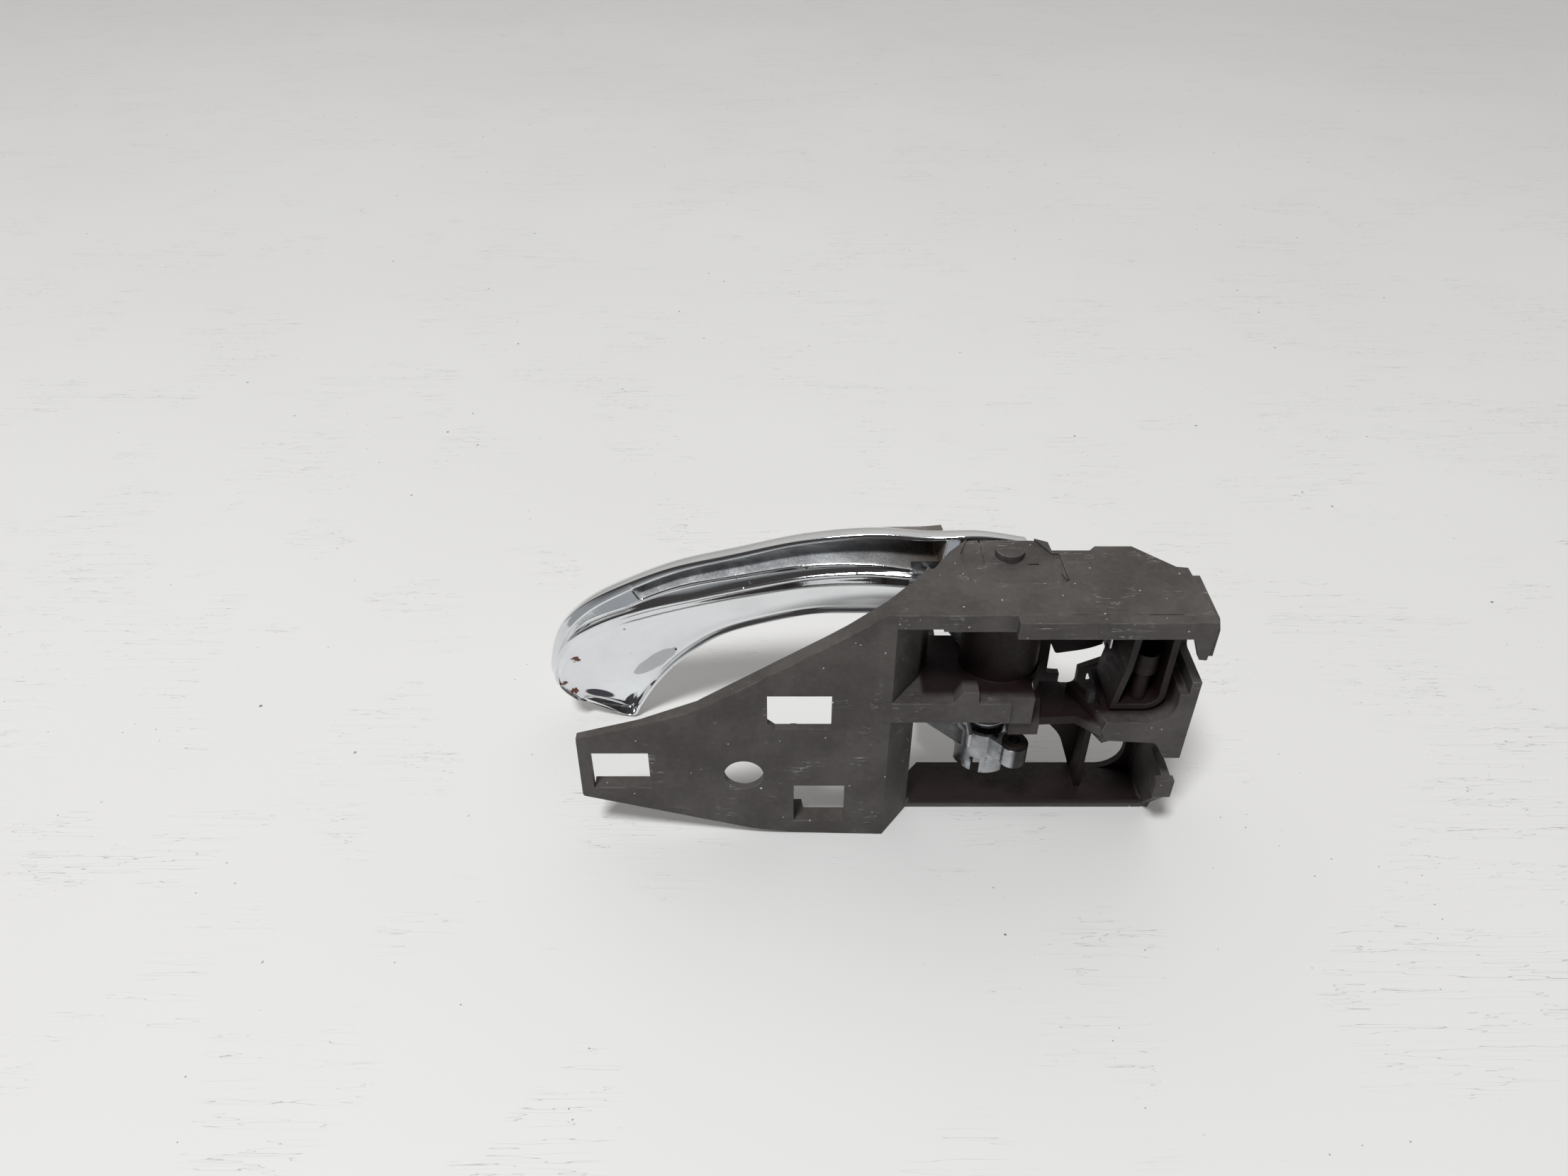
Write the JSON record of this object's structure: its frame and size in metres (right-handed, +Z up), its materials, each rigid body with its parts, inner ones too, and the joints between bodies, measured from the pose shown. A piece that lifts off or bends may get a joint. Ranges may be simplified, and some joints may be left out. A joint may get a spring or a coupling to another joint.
{
  "type": "inside car door handle",
  "caption": "Inside car door release handle: moulded housing with cable notches, chrome arched pull lever on an upright pin, and a lock rocker beside it.",
  "frame": {"origin": "centre of the round fixing hole, on the door-side face of the housing's plate", "axes": "+X towards the end where the cables enter, +Y towards the cabin, +Z up when fitted"},
  "size_m": [0.1664, 0.0557, 0.0762],
  "materials": {
    "charcoal_moulding": "matte",
    "chrome_plate": "polished",
    "acetal": "satin",
    "steel": "satin",
    "rubber": "matte",
    "marker_red": "satin"
  },
  "bodies": {
    "housing_body": {"housing": "charcoal_moulding", "lever_pin": "steel", "pin_clip": "steel", "thrust_washers": "acetal", "spring_sleeve": "acetal", "return_spring": "steel", "rest_pad": "rubber", "open_stop_pad": "rubber", "lock_pin": "steel", "detent_spring": "steel", "lock_stop_pads": "rubber"},
    "lever": {"lever_grip": "chrome_plate", "lever_yoke": "chrome_plate", "upper_bush": "acetal", "lower_bush": "acetal", "release_cable_socket": "acetal"},
    "rocker": {"lock_rocker": "charcoal_moulding", "lock_bush": "acetal", "lock_cable_socket": "acetal", "lock_marker": "marker_red"}
  },
  "joints": [
    {"name": "lever_pull", "type": "hinge", "parent": "housing_body", "child": "lever", "pos_m": [0.0637, 0.018, 0.01], "axis": [0, 0, -1], "range_deg": [0, 38], "stiffness_Nm_per_rad": 0.12, "springref_deg": -20.05, "deforming": ["return_spring"]},
    {"name": "lock_rock", "type": "hinge", "parent": "housing_body", "child": "rocker", "pos_m": [0.0975, 0.015, 0.032], "axis": [0, 0, -1], "range_deg": [0, 16]}
  ]
}
